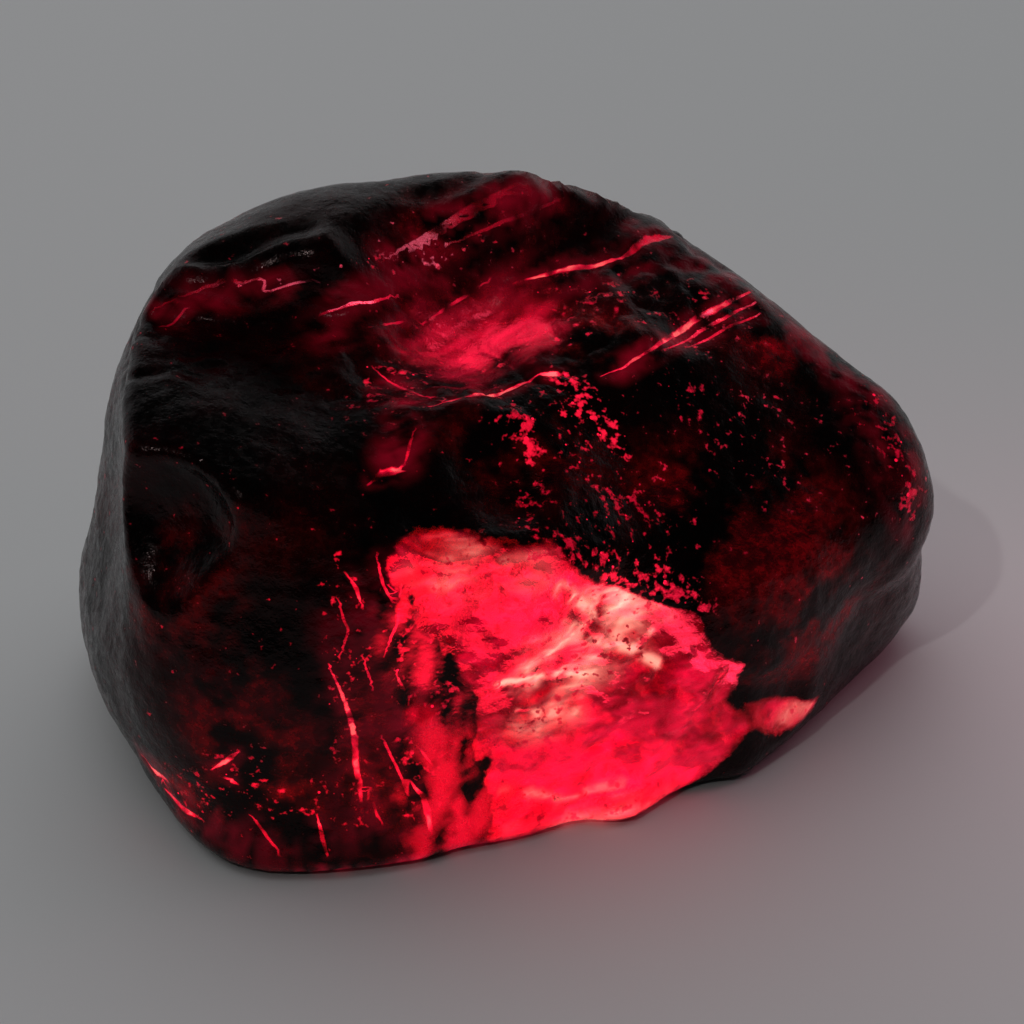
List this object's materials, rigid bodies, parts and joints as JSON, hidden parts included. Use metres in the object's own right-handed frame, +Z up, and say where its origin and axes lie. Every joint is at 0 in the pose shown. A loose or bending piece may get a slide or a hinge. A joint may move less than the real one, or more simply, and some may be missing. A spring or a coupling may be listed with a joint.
{
  "type": "ruby crystal",
  "caption": "Loose water-worn crystal of rough ruby: flat worn faces, rounded edges, shell-shaped fracture dishes and a broken step on top; see-through dark red.",
  "frame": {"origin": "middle of the stone's box on the plane that it rests on", "axes": "+X along the stone's length towards its thin end, +Y towards its back, +Z up from the flat base"},
  "size_m": [0.0204, 0.014, 0.012],
  "materials": {
    "ruby": "worn half-gloss skin on see-through deep red corundum, with healed cracks, veils and specks inside"
  },
  "bodies": {
    "root": {"ruby_crystal": "ruby"}
  },
  "joints": []
}
